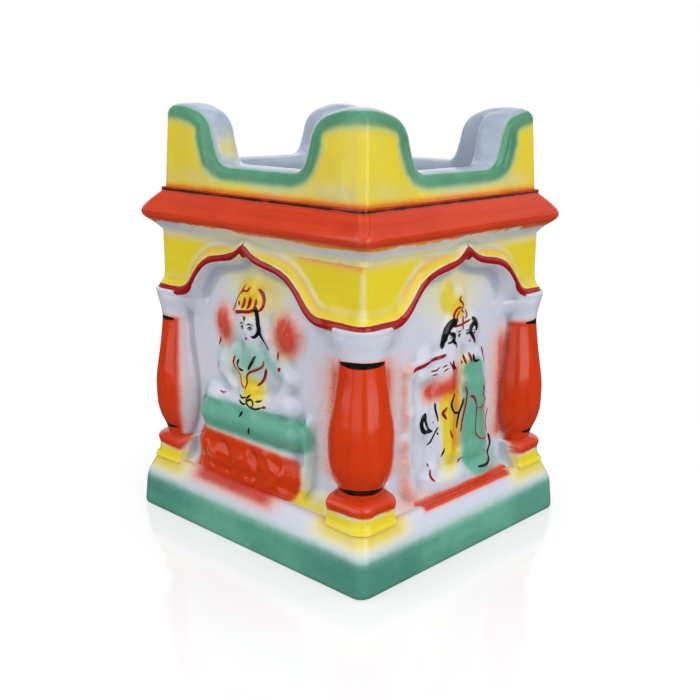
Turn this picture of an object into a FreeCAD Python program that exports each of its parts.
import FreeCAD, Part
import os
import re

import Sketcher
from FreeCAD import Placement, Rotation, Vector

# A square ceramic planter for a household tulsi plant. It stands on a plinth, has a column at
# each corner, an arched niche with raised figures in each side, a cornice and a notched parapet.
# The origin is the centre of the underside. The front is towards -Y and the right side is at +X.

# Driving dimensions in millimetres. An inset is a face's distance in from the plinth's outer
# edge, and a level is a height above the ground.
sizes = {
    # plan of the whole planter
    "plinthWidth": 208.0,
    "plinthDepth": 192.4,
    "cornerRound": 3.5,
    # plinth
    "bandLevel": 21.5,
    "bandInset": 1.4,
    "shoulderLevel": 34.6,
    "shoulderInset": 6.6,
    "ledgeLevel": 36.0,
    "ledgeInset": 8.0,
    "ledgeThickness": 7.0,
    "footWidth": 11.0,
    # niche walls, and the well inside them
    "wallInset": 21.0,
    "wallThickness": 5.0,
    "wellInset": 40.0,
    "linerThickness": 5.0,
    "floorThickness": 7.0,
    "drainRadius": 6.5,
    # pedestals and columns
    "pedestalInset": 7.0,
    "pedestalSide": 30.0,
    "blockRise": 8.0,
    "cushionRise": 8.0,
    "cushionSwell": 0.8,
    "cushionRound": 2.8,
    "columnInset": 23.0,
    "columnFootRadius": 12.8,
    "columnBellyRadius": 18.8,
    "columnNeckRadius": 13.3,
    "columnNeckLevel": 131.0,
    "capitalRadius": 18.4,
    "capitalSide": 26.8,
    # arched friezes
    "lipLevel": 147.2,
    "lipInset": 10.2,
    "lipEdge": 2.6,
    "lipBand": 10.0,
    "friezeInset": 14.6,
    "archOpening": 93.0,
    "archRise": 34.6,
    "frontShift": -4.5,
    "sideShift": 4.5,
    # cornice
    "corniceLevel": 184.8,
    "noseLevel": 199.4,
    "noseInset": 4.8,
    "noseRound": 3.4,
    # parapet
    "parapetLevel": 214.9,
    "parapetInset": 16.1,
    "parapetLean": 2.0,
    "parapetTop": 267.4,
    "notchWidth": 84.0,
    "notchLevel": 231.8,
    "sideNotchShift": 3.5,
    # raised figures
    "reliefRise": 131.0,
    "reliefDepth": 13.5,
    # length by which a cut runs past the face that it opens
    "overrun": 2.0,
}

# The four sides: turn about Z in degrees, half of the side's length, and its reach from the axis.
sides = {
    "front": (0, "plinthWidth / 2", "plinthDepth / 2"),
    "right": (90, "plinthDepth / 2", "plinthWidth / 2"),
    "back": (180, "plinthWidth / 2", "plinthDepth / 2"),
    "left": (270, "plinthDepth / 2", "plinthWidth / 2"),
}

# The four corners: turn about Z in degrees, and the signs of their X and Y.
corners = {
    "front_right": (0, 1, -1),
    "back_right": (90, 1, 1),
    "back_left": (180, -1, 1),
    "front_left": (270, -1, -1),
}

# Lower edge of an arch, from its point outwards, as shares of half the opening and of the rise.
# A row of two ends a straight edge, and a row of four ends an arc through its first two numbers.
archShares = [
    (0.0, 1.0),
    (0.125, 0.868, 0.33, 0.79),
    (0.50, 0.752, 0.667, 0.712),
    (0.79, 0.635, 0.903, 0.487),
    (1.06, 0.235),
    (1.17, 0.08, 1.32, 0.0),
]

# Edge of a notch in the parapet, from its middle outwards, as shares of half the notch's width
# and of its depth.
notchShares = [
    (0.64, 0.0),
    (0.82, 0.065, 0.925, 0.25),
    (0.99, 0.47),
    (1.135, 0.82, 1.49, 1.0),
]

# Outline of a column, as shares of the way between two of its radii and of the height there. The
# belly is widest at a share of the height up to the neck.
columnShares = {"rise": (0.76, 0.12), "belly": 0.30, "fall": (0.70, 0.62), "flare": (0.25, 0.625)}

# Outline of the cornice: the cove's middle as shares of its reach and rise, and where the nose
# begins and turns as shares of its round.
coveShares = {"out": 0.25, "up": 0.5}
noseShares = {"under": 0.33, "over": 0.5}

# How far the middle of a quarter circle lies in from its square corner, as a share of the radius.
quarterShare = 1 - 0.5 ** 0.5

# Slack of an edge's place when edges are picked for rounding, as a share of the round's radius.
pickShare = 0.125

# Each raised shape is a row of its place across and up, its half width, its half height and its
# depth, as shares of the relief's rise, the depth of the relief's depth. A sixth number is its
# lean in degrees.
lotusSeatShares = [
    (0.0, 0.105, 0.335, 0.125, 0.86),
    (0.0, 0.02, 0.36, 0.06, 1.0),
]
petalShares = {"count": 7, "span": 0.29, "up": 0.11, "half": 0.05, "tall": 0.085, "deep": 1.0}
seatCushionShares = [
    (0.0, 0.285, 0.37, 0.072, 1.0),
    (-0.26, 0.29, 0.11, 0.06, 0.92),
    (0.26, 0.29, 0.11, 0.06, 0.92),
]
drapeShares = [
    (0.345, 0.24, 0.035, 0.17, 0.8, 4.0),
    (0.335, 0.035, 0.05, 0.055, 0.95),
]
seatedFigureShares = [
    (0.0, 0.385, 0.33, 0.066, 0.95),
    (-0.25, 0.385, 0.09, 0.066, 1.0),
    (0.25, 0.385, 0.09, 0.066, 1.0),
    (0.0, 0.52, 0.095, 0.17, 0.80),
    (0.0, 0.605, 0.140, 0.082, 0.82),
    (0.0, 0.760, 0.080, 0.098, 0.88),
    (0.0, 0.872, 0.084, 0.128, 0.66),
    (-0.175, 0.575, 0.045, 0.095, 0.70, -35.0),
    (0.175, 0.575, 0.045, 0.095, 0.70, 35.0),
    (-0.180, 0.475, 0.038, 0.090, 0.80, 32.0),
    (0.180, 0.475, 0.038, 0.090, 0.80, -32.0),
]
firstFlowerShares = [
    (-0.190, 0.758, 0.085, 0.095, 0.62),
    (-0.175, 0.668, 0.034, 0.070, 0.50, -16.0),
]
secondFlowerShares = [
    (0.225, 0.765, 0.095, 0.100, 0.62),
    (0.190, 0.668, 0.034, 0.070, 0.50, 22.0),
]
moundShares = [
    (0.0, 0.0, 0.40, 0.115, 1.0),
]
companionShares = [
    (0.085, 0.725, 0.066, 0.086, 0.72),
    (0.125, 0.600, 0.088, 0.075, 0.78),
    (0.140, 0.470, 0.080, 0.150, 0.80),
    (0.138, 0.270, 0.108, 0.250, 0.92),
]
flutePlayerShares = [
    (-0.050, 0.742, 0.080, 0.096, 0.86),
    (-0.020, 0.870, 0.055, 0.100, 0.60),
    (-0.070, 0.590, 0.110, 0.085, 0.85),
    (-0.075, 0.480, 0.085, 0.120, 0.80),
    (-0.060, 0.300, 0.090, 0.200, 0.92),
    (-0.140, 0.180, 0.062, 0.160, 0.80, 12.0),
    (-0.210, 0.605, 0.110, 0.034, 0.72, 4.0),
    (-0.200, 0.400, 0.070, 0.085, 0.60, -24.0),
]
treeShares = [
    (-0.345, 0.300, 0.034, 0.330, 0.72, 1.5),
    (-0.350, 0.610, 0.050, 0.048, 0.78),
    (-0.340, 0.040, 0.045, 0.120, 1.0),
]

doc = FreeCAD.newDocument("planter")
sheet = doc.addObject("Spreadsheet::Sheet", "Sizes")
for row, (alias, value) in enumerate(sizes.items(), start=1):
    sheet.set(f"A{row}", alias)
    sheet.set(f"B{row}", str(value))
    sheet.setAlias(f"B{row}", alias)
doc.recompute()

# Finished sub-parts, in the order in which they are made.
nodes = []


# Turns a formula written with the names of sizes into one that reads the sheet.
def bound(formula):
    return re.sub(r"[A-Za-z]+", lambda word: f"Sizes.{word.group()}", str(formula))


def bind(item, field, formula):
    item.setExpression(field, bound(formula))


# Value of a formula now, to draw a shape close to where its constraints will hold it.
def now(formula):
    return float(sheet.evalExpression(bound(formula)))


def finished(item, label):
    item.Label = label
    nodes.append(item)
    return item


# A sub-part like one already made, turned half way round the planter's axis.
def turnedCopy(label, original):
    copy = doc.addObject("Part::Compound", label)
    copy.Links = [original]
    copy.Placement = Placement(Vector(), Rotation(Vector(0, 0, 1), 180))
    return finished(copy, label)


# Place across a side, and out from the axis, as global X and Y formulas.
def spot(side, across, out):
    places = {"front": (f"({across})", f"-({out})"), "right": (f"({out})", f"({across})")}
    return places[side]


def newBody(label, turn=0):
    body = doc.addObject("PartDesign::Body", label)
    body.Label = label
    body.Placement = Placement(Vector(), Rotation(Vector(0, 0, 1), turn))
    return body


# A sketch on one of the body's own planes, moved along the plane's normal by a formula.
def newSketch(body, name, role, offset=None):
    plane = next(item for item in body.Origin.OriginFeatures if item.Role == role)
    sketch = body.newObject("Sketcher::SketchObject", name)
    sketch.AttachmentSupport = (plane, [""])
    sketch.MapMode = "FlatFace"
    if offset is not None:
        bind(sketch, "AttachmentOffset.Base.z", offset)
    return sketch


# Holds one end of an edge at a place given by two formulas.
def pin(sketch, edge, end, across, up):
    for kind, formula in (("DistanceX", across), ("DistanceY", up)):
        index = sketch.addConstraint(Sketcher.Constraint(kind, -1, 1, edge, end, now(formula)))
        sketch.setExpression(f"Constraints[{index}]", bound(formula))


# The end of an edge that lies at a point: 1 for its start, 2 for its end.
def endAt(sketch, edge, point):
    gaps = {end: sketch.getPoint(edge, end).distanceToPoint(point) for end in (1, 2)}
    return min(gaps, key=gaps.get)


# Draws a closed outline. Each stop is a pair of formulas that ends a straight edge, or four that
# end an arc which passes through the first two.
def outline(sketch, stops):
    points = [Vector(now(stop[-2]), now(stop[-1]), 0) for stop in stops]
    edges = []
    for index, stop in enumerate(stops):
        start = points[index - 1]
        end = points[index]
        if len(stop) == 2:
            edges.append(sketch.addGeometry(Part.LineSegment(start, end), False))
            continue
        middle = Vector(now(stop[0]), now(stop[1]), 0)
        edge = sketch.addGeometry(Part.Arc(start, middle, end), False)
        mark = sketch.addGeometry(Part.Point(middle), True)
        pin(sketch, mark, 1, stop[0], stop[1])
        sketch.addConstraint(Sketcher.Constraint("PointOnObject", mark, 1, edge))
        edges.append(edge)
    for index, stop in enumerate(stops):
        edge = edges[index]
        following = edges[(index + 1) % len(edges)]
        end = endAt(sketch, edge, points[index])
        pin(sketch, edge, end, stop[-2], stop[-1])
        begin = endAt(sketch, following, points[index])
        sketch.addConstraint(Sketcher.Constraint("Coincident", edge, end, following, begin))
    return sketch


def rectangle(sketch, halfWide, halfDeep):
    return outline(sketch, [
        (f"-({halfWide})", f"-({halfDeep})"),
        (f"{halfWide}", f"-({halfDeep})"),
        (f"{halfWide}", f"{halfDeep}"),
        (f"-({halfWide})", f"{halfDeep}"),
    ])


# A rectangle with rounded corners, each a quarter circle.
def roundedRectangle(sketch, halfWide, halfDeep, radius):
    stops = []
    for signX, signY, alongX in ((-1, -1, True), (1, -1, False), (1, 1, True), (-1, 1, False)):
        def place(inX, inY):
            return f"{signX} * ({halfWide} - {inX})", f"{signY} * ({halfDeep} - {inY})"

        middle = place(f"{quarterShare} * {radius}", f"{quarterShare} * {radius}")
        beforeX = place("0", radius)
        beforeY = place(radius, "0")
        stops.append(beforeX if alongX else beforeY)
        stops.append(middle + (beforeY if alongX else beforeX))
    return outline(sketch, stops)


def pad(body, sketch, length):
    feature = body.newObject("PartDesign::Pad", f"{sketch.Name}_pad")
    feature.Profile = sketch
    bind(feature, "Length", length)
    return feature


# A pocket cuts against its sketch's normal, or along it when it is reversed.
def pocket(body, sketch, length, reverse=False):
    feature = body.newObject("PartDesign::Pocket", f"{sketch.Name}_pocket")
    feature.Profile = sketch
    feature.Reversed = reverse
    bind(feature, "Length", length)
    return feature


def loft(body, first, *others):
    feature = body.newObject("PartDesign::AdditiveLoft", f"{first.Name}_loft")
    feature.Profile = first
    feature.Sections = list(others)
    feature.Ruled = True
    return feature


# Rounds the edges of the body's tip that a rule picks out.
def roundEdges(body, name, radius, wanted):
    doc.recompute()
    tip = body.Tip
    names = [f"Edge{index}" for index, edge in enumerate(tip.Shape.Edges, start=1) if wanted(edge)]
    feature = body.newObject("PartDesign::Fillet", name)
    feature.Base = (tip, names)
    bind(feature, "Radius", radius)
    return feature


# A ring with mitred corners, swept round the plan from a section of insets and levels.
def moulding(label, section):
    body = newBody(label)
    path = newSketch(body, f"{label}_path", "XY_Plane")
    outline(path, [
        ("-plinthWidth / 2", "0"),
        ("-plinthWidth / 2", "-plinthDepth / 2"),
        ("plinthWidth / 2", "-plinthDepth / 2"),
        ("plinthWidth / 2", "plinthDepth / 2"),
        ("-plinthWidth / 2", "plinthDepth / 2"),
    ])
    profile = newSketch(body, f"{label}_section", "XZ_Plane")
    stops = []
    for stop in section:
        moved = [f"{place} - plinthWidth / 2" if even else place
                 for even, place in zip([True, False] * 2, stop)]
        stops.append(tuple(moved))
    outline(profile, stops)
    doc.recompute()
    ring = body.newObject("PartDesign::AdditivePipe", f"{label}_ring")
    ring.Profile = profile
    ring.Spine = (path, [f"Edge{index + 1}" for index in range(path.GeometryCount)])
    ring.Transition = "Right corner"
    return body


# A straight wall along one side with both ends mitred, between two insets and two levels.
def mitredWall(label, side, inset, thickness, base, top):
    turn, half, reach = sides[side]
    body = newBody(label, turn)
    plan = newSketch(body, f"{label}_plan", "XY_Plane", base)
    outer = f"{half} - ({inset})"
    inner = f"{half} - ({inset}) - ({thickness})"
    face = f"-({reach} - ({inset}))"
    rear = f"-({reach} - ({inset}) - ({thickness}))"
    outline(plan, [(f"-({outer})", face), (outer, face), (inner, rear), (f"-({inner})", rear)])
    pad(body, plan, f"({top}) - ({base})")
    return body


# The plinth is hollow below its ledge, where it stands on a rim, and open in the middle.
def makePlinth():
    body = newBody("plinth")
    levels = []
    for name, inset, level in (
        ("ground", "0", "0"),
        ("band", "bandInset", "bandLevel"),
        ("shoulder", "shoulderInset", "shoulderLevel"),
        ("ledge", "ledgeInset", "ledgeLevel"),
    ):
        sketch = newSketch(body, f"plinth_{name}", "XY_Plane", level)
        roundedRectangle(sketch, f"(plinthWidth / 2 - {inset})", f"(plinthDepth / 2 - {inset})",
                         "cornerRound")
        levels.append(sketch)
    loft(body, *levels)
    recess = newSketch(body, "plinth_recess", "XY_Plane", "ledgeLevel - ledgeThickness")
    rectangle(recess, "plinthWidth / 2 - footWidth", "plinthDepth / 2 - footWidth")
    pocket(body, recess, "ledgeLevel - ledgeThickness + overrun")
    middle = newSketch(body, "plinth_middle", "XY_Plane", "ledgeLevel + overrun")
    inner = "(wallInset + wallThickness)"
    rectangle(middle, f"plinthWidth / 2 - {inner}", f"plinthDepth / 2 - {inner}")
    pocket(body, middle, "ledgeThickness + 2 * overrun")
    finished(body, "plinth")


def makeFloor():
    body = newBody("well_floor")
    plan = newSketch(body, "floor_plan", "XY_Plane", "ledgeLevel - ledgeThickness - floorThickness")
    rectangle(plan, "plinthWidth / 2 - footWidth", "plinthDepth / 2 - footWidth")
    pad(body, plan, "floorThickness")
    drain = newSketch(body, "floor_drain", "XY_Plane", "ledgeLevel - ledgeThickness + overrun")
    circle = Part.Circle(Vector(), Vector(0, 0, 1), now("drainRadius"))
    drain.addGeometry(circle, False)
    drain.addConstraint(Sketcher.Constraint("Coincident", 0, 3, -1, 1))
    index = drain.addConstraint(Sketcher.Constraint("Radius", 0, now("drainRadius")))
    drain.setExpression(f"Constraints[{index}]", bound("drainRadius"))
    pocket(body, drain, "floorThickness + 2 * overrun")
    finished(body, "well_floor")


def makeWalls():
    for side in sides:
        label = f"{side}_wall"
        wall = mitredWall(label, side, "wallInset", "wallThickness", "ledgeLevel", "corniceLevel")
        finished(wall, label)
    for side in sides:
        label = f"{side}_well_liner"
        base = "ledgeLevel - ledgeThickness"
        liner = mitredWall(label, side, "wellInset - linerThickness", "linerThickness",
                           base, "parapetLevel")
        finished(liner, label)


# The core is the space inside the outer faces of the niche walls, where nothing outside reaches.
def makeCore():
    core = doc.addObject("Part::Box", "core")
    bind(core, "Length", "plinthWidth - 2 * wallInset")
    bind(core, "Width", "plinthDepth - 2 * wallInset")
    bind(core, "Height", "parapetTop")
    bind(core, "Placement.Base.x", "wallInset - plinthWidth / 2")
    bind(core, "Placement.Base.y", "wallInset - plinthDepth / 2")
    return core


def atCorner(item, corner):
    turn, signX, signY = corners[corner]
    item.Placement = Placement(Vector(), Rotation(Vector(0, 0, 1), turn))
    bind(item, "Placement.Base.x", f"{signX} * (plinthWidth / 2 - columnInset)")
    bind(item, "Placement.Base.y", f"{signY} * (plinthDepth / 2 - columnInset)")


# A pedestal wraps the corner of the niche walls. Its own origin is on the column's axis.
def makePedestal(corner):
    label = f"pedestal_{corner}"
    body = newBody(label)
    near = "columnInset - pedestalInset"
    wall = "columnInset - wallInset"
    far = "columnInset - pedestalInset - pedestalSide"
    block = newSketch(body, f"{label}_plan", "XY_Plane", "ledgeLevel")
    outline(block, [
        (far, f"-({near})"), (near, f"-({near})"), (near, f"-({far})"),
        (wall, f"-({far})"), (wall, f"-({wall})"), (far, f"-({wall})"),
    ])
    pad(body, block, "blockRise")
    swollen = f"{near} + cushionSwell"
    ends = f"{far} - cushionSwell"
    cushion = newSketch(body, f"{label}_cushion", "XY_Plane", "ledgeLevel + blockRise")
    outline(cushion, [
        (ends, f"-({swollen})"), (swollen, f"-({swollen})"), (swollen, f"-({ends})"),
        (wall, f"-({ends})"), (wall, f"-({wall})"), (ends, f"-({wall})"),
    ])
    pad(body, cushion, "cushionRise")
    top = now("ledgeLevel + blockRise + cushionRise")
    wallLine = now(wall)
    slack = pickShare * now("cushionRound")

    # The uprights and the top edges that aren't against the wall.
    def onRim(edge):
        centre = edge.CenterOfMass
        free = abs(centre.x - wallLine) > slack and abs(centre.y + wallLine) > slack
        upright = edge.BoundBox.ZLength > slack
        return free and (upright or edge.BoundBox.ZMin > top - slack)

    roundEdges(body, f"{label}_round", "cushionRound", onRim)
    atCorner(body, corner)
    finished(body, label)


# A column swells above its foot and narrows to a neck, and its capital flares out to a square.
def makeColumn(corner, core):
    label = f"column_{corner}"
    body = newBody(f"{label}_turned")
    base = "(ledgeLevel + blockRise + cushionRise)"
    height = f"(columnNeckLevel - {base})"
    swell = "(columnBellyRadius - columnFootRadius)"
    taper = "(columnBellyRadius - columnNeckRadius)"
    flare = "(capitalRadius - columnNeckRadius)"
    capital = "(lipLevel - columnNeckLevel)"
    riseOut, riseUp = columnShares["rise"]
    fallIn, fallUp = columnShares["fall"]
    flareOut, flareUp = columnShares["flare"]
    profile = newSketch(body, f"{label}_profile", "XZ_Plane")
    outline(profile, [
        ("0", base),
        ("columnFootRadius", base),
        (f"columnFootRadius + {riseOut} * {swell}", f"{base} + {riseUp} * {height}",
         "columnBellyRadius", f"{base} + {columnShares['belly']} * {height}"),
        (f"columnNeckRadius + {fallIn} * {taper}", f"{base} + {fallUp} * {height}",
         "columnNeckRadius", "columnNeckLevel"),
        (f"columnNeckRadius + {flareOut} * {flare}", f"columnNeckLevel + {flareUp} * {capital}",
         "capitalRadius", "lipLevel"),
        ("0", "lipLevel"),
    ])
    turned = body.newObject("PartDesign::Revolution", f"{label}_turn")
    turned.Profile = profile
    turned.ReferenceAxis = (profile, ["V_Axis"])
    frame = newSketch(body, f"{label}_square", "XY_Plane", "columnNeckLevel")
    rectangle(frame, "capitalSide / 2", "capitalSide / 2")
    rectangle(frame, "capitalSide", "capitalSide")
    pocket(body, frame, "lipLevel - columnNeckLevel + overrun", reverse=True)
    atCorner(body, corner)
    column = doc.addObject("Part::Cut", label)
    column.Base = body
    column.Tool = core
    finished(column, label)


# Formulas of the arch's lower edge from left to right, raised by a formula.
def archEdge(shift, raised="0"):
    def place(sign, share, rise):
        return (f"{shift} {sign} {share} * archOpening / 2", f"lipLevel + {rise} * archRise + {raised}")

    rows = archShares
    leftward = []
    for index in range(len(rows) - 1, 0, -1):
        middle = place("-", *rows[index][:2]) if len(rows[index]) == 4 else ()
        leftward.append(middle + place("-", *rows[index - 1][-2:]))
    rightward = []
    for entry in rows[1:]:
        middle = place("+", *entry[:2]) if len(entry) == 4 else ()
        rightward.append(middle + place("+", *entry[-2:]))
    return leftward + rightward


# The edge's own stops in reverse, to close a band between two like edges.
def backAlong(start, stops):
    ends = [start] + [stop[-2:] for stop in stops]
    reverse = []
    for index in range(len(stops) - 1, -1, -1):
        middle = stops[index][:2] if len(stops[index]) == 4 else ()
        reverse.append(middle + ends[index])
    return reverse


# An arched frieze: a flat panel whose lower margin flares out to a lip.
def makeArch(side, shift):
    turn, half, reach = sides[side]
    label = f"{side}_arch"
    body = newBody(f"{label}_panel", turn)
    end = f"({half})"
    width, rise = archShares[-1][-2:]
    foot = f"lipLevel + {rise} * archRise"
    panel = newSketch(body, f"{label}_outline", "XZ_Plane", f"{reach} - wallInset")
    outline(panel, [
        (f"-{end}", foot),
        (f"{shift} - {width} * archOpening / 2", foot),
        *archEdge(shift),
        (end, foot),
        (end, "corniceLevel"),
        (f"-{end}", "corniceLevel"),
    ])
    pad(body, panel, "wallInset - friezeInset")
    bands = []
    for name, out, band in (("root", "friezeInset", "lipBand"), ("lip", "lipInset", "lipEdge")):
        start = (f"{shift} - {width} * archOpening / 2", f"{foot} + {band}")
        upper = archEdge(shift, band)
        sketch = newSketch(body, f"{label}_{name}", "XZ_Plane", f"{reach} - {out}")
        outline(sketch, [
            (f"-{end}", foot),
            (f"{shift} - {width} * archOpening / 2", foot),
            *archEdge(shift),
            (end, foot),
            (end, f"{foot} + {band}"),
            (upper[-1][-2], upper[-1][-1]),
            *backAlong(start, upper),
            (f"-{end}", f"{foot} + {band}"),
        ])
        bands.append(sketch)
    loft(body, *bands)
    mitre = mitredWall(f"{label}_mitre", side, "0", "wallInset + wallThickness",
                       "0", "parapetTop")
    arch = doc.addObject("Part::Common", label)
    arch.Base = body
    arch.Tool = mitre
    finished(arch, label)


def makeCornice():
    body = moulding("cornice", [
        ("wallInset + wallThickness", "corniceLevel"),
        ("friezeInset", "corniceLevel"),
        (f"friezeInset - {coveShares['out']} * (friezeInset - noseInset)",
         f"corniceLevel + {coveShares['up']} * (noseLevel - corniceLevel)",
         f"noseInset + {noseShares['under']} * noseRound", "noseLevel - noseRound"),
        ("noseInset", "noseLevel",
         f"noseInset + {noseShares['over']} * noseRound", "noseLevel + noseRound"),
        ("parapetInset", "parapetLevel"),
        ("wallInset + wallThickness", "parapetLevel"),
    ])
    finished(body, "cornice")


# Formulas of a notch's outline, open at the top, in the plane of one side.
def notchOutline(shift):
    depth = "(parapetTop - notchLevel)"

    def place(sign, share, rise):
        return (f"{shift} {sign} {share} * notchWidth / 2", f"notchLevel + {rise} * {depth}")

    rows = notchShares
    leftward = []
    for index in range(len(rows) - 1, 0, -1):
        middle = place("-", *rows[index][:2]) if len(rows[index]) == 4 else ()
        leftward.append(middle + place("-", *rows[index - 1][-2:]))
    rightward = [place("+", *rows[0])]
    for entry in rows[1:]:
        middle = place("+", *entry[:2]) if len(entry) == 4 else ()
        rightward.append(middle + place("+", *entry[-2:]))
    width = rows[-1][-2]
    high = "parapetTop + overrun"
    start = [(f"{shift} - {width} * notchWidth / 2", "parapetTop")]
    return start + leftward + rightward + [
        (f"{shift} + {width} * notchWidth / 2", high),
        (f"{shift} - {width} * notchWidth / 2", high),
    ]


def makeParapet():
    body = newBody("parapet")
    levels = []
    for name, inset, level in (
        ("foot", "parapetInset", "parapetLevel"),
        ("head", "parapetInset + parapetLean", "parapetTop"),
    ):
        sketch = newSketch(body, f"parapet_{name}", "XY_Plane", level)
        roundedRectangle(sketch, f"(plinthWidth / 2 - ({inset}))", f"(plinthDepth / 2 - ({inset}))",
                         "cornerRound")
        levels.append(sketch)
    loft(body, *levels)
    well = newSketch(body, "parapet_well", "XY_Plane", "parapetTop + overrun")
    rectangle(well, "plinthWidth / 2 - wellInset", "plinthDepth / 2 - wellInset")
    pocket(body, well, "parapetTop - parapetLevel + 2 * overrun")
    for name, role, shift, through in (
        ("parapet_front_notches", "XZ_Plane", "0", "plinthDepth"),
        ("parapet_side_notches", "YZ_Plane", "sideNotchShift", "plinthWidth"),
    ):
        notch = newSketch(body, name, role)
        outline(notch, notchOutline(shift))
        pocket(body, notch, through).Midplane = True
    finished(body, "parapet")


# One raised shape of a relief: an ellipsoid whose centre lies in the wall's face.
def blob(side, name, shift, entry):
    across, up, wide, tall, deep = entry[:5]
    lean = entry[5] if len(entry) == 6 else 0.0
    turn, half, reach = sides[side]
    item = doc.addObject("Part::Ellipsoid", name)
    bind(item, "Radius1", f"{tall} * reliefRise")
    bind(item, "Radius2", f"{wide} * reliefRise")
    bind(item, "Radius3", f"{deep} * reliefDepth")
    upright = Rotation(Vector(0, 0, 1), turn)
    item.Placement = Placement(Vector(), upright.multiply(Rotation(Vector(0, 1, 0), lean)))
    x, y = spot(side, f"{shift} + {across} * reliefRise", f"{reach} - wallInset")
    bind(item, "Placement.Base.x", x)
    bind(item, "Placement.Base.y", y)
    bind(item, "Placement.Base.z", f"ledgeLevel + {up} * reliefRise")
    return item


# The open space of one niche, between its pedestals and in front of its wall.
def nicheSpace(side):
    turn, half, reach = sides[side]
    space = doc.addObject("Part::Box", f"{side}_niche_space")
    length = f"2 * ({half} - pedestalInset - pedestalSide)"
    bind(space, "Length", length)
    bind(space, "Width", "wallInset - pedestalInset")
    bind(space, "Height", "corniceLevel - ledgeLevel")
    space.Placement = Placement(Vector(), Rotation(Vector(0, 0, 1), turn))
    x, y = spot(side, f"-({length}) / 2", f"{reach} - pedestalInset")
    bind(space, "Placement.Base.x", x)
    bind(space, "Placement.Base.y", y)
    bind(space, "Placement.Base.z", "ledgeLevel")
    return space


# A relief piece: its raised shapes in one, kept to the niche and clear of the pieces it meets.
def relief(side, label, shift, rows, space, clearOf=()):
    parts = [blob(side, f"{label}_form_{index + 1}", shift, entry)
             for index, entry in enumerate(rows)]
    whole = parts[0]
    if len(parts) > 1:
        whole = doc.addObject("Part::MultiFuse", f"{label}_forms")
        whole.Shapes = parts
    kept = doc.addObject("Part::Common", f"{label}_kept")
    kept.Base = whole
    kept.Tool = space
    for index, other in enumerate(clearOf):
        cut = doc.addObject("Part::Cut", f"{label}_clear_{index + 1}")
        cut.Base = kept
        cut.Tool = other
        kept = cut
    return finished(kept, label)


def makeSeatedRelief(side):
    space = nicheSpace(side)
    shift = "frontShift"
    count = petalShares["count"]
    petals = [(petalShares["span"] * (2 * index / (count - 1) - 1), petalShares["up"],
               petalShares["half"], petalShares["tall"], petalShares["deep"])
              for index in range(count)]
    cushion = relief(side, f"{side}_seat_cushion", shift, seatCushionShares, space)
    seat = relief(side, f"{side}_lotus_seat", shift, lotusSeatShares + petals, space, [cushion])
    relief(side, f"{side}_drape", shift, drapeShares, space, [cushion, seat])
    figure = relief(side, f"{side}_seated_figure", shift, seatedFigureShares, space, [cushion])
    relief(side, f"{side}_held_flower_1", shift, firstFlowerShares, space, [figure])
    relief(side, f"{side}_held_flower_2", shift, secondFlowerShares, space, [figure])


def makeStandingRelief(side):
    space = nicheSpace(side)
    shift = "sideShift"
    mound = relief(side, f"{side}_mound", shift, moundShares, space)
    companion = relief(side, f"{side}_companion", shift, companionShares, space, [mound])
    relief(side, f"{side}_flute_player", shift, flutePlayerShares, space, [mound, companion])
    relief(side, f"{side}_tree", shift, treeShares, space, [mound])


def writeParts():
    doc.recompute()
    for item in doc.Objects:
        if {"Invalid", "Error"} & set(item.State):
            raise RuntimeError(f"{item.Label} failed: {item.State}")
    os.makedirs("parts", exist_ok=True)
    for node in nodes:
        if node.Shape.isNull() or not node.Shape.isValid():
            raise RuntimeError(f"{node.Label} has no valid shape")
    for node in nodes:
        node.Shape.exportStep(os.path.join("parts", f"{node.Label}.step"))
        print(f"{node.Label}: {len(node.Shape.Solids)} solid, {node.Shape.Volume:.0f} mm3")


makePlinth()
makeFloor()
makeWalls()
wallCore = makeCore()
for cornerName in corners:
    makePedestal(cornerName)
    makeColumn(cornerName, wallCore)
makeCornice()
makeParapet()
faced = len(nodes)
makeArch("front", "frontShift")
makeArch("right", "sideShift")
makeSeatedRelief("front")
makeStandingRelief("right")
for piece in nodes[faced:]:
    turnedCopy(piece.Label.replace("front", "back").replace("right", "left"), piece)
writeParts()
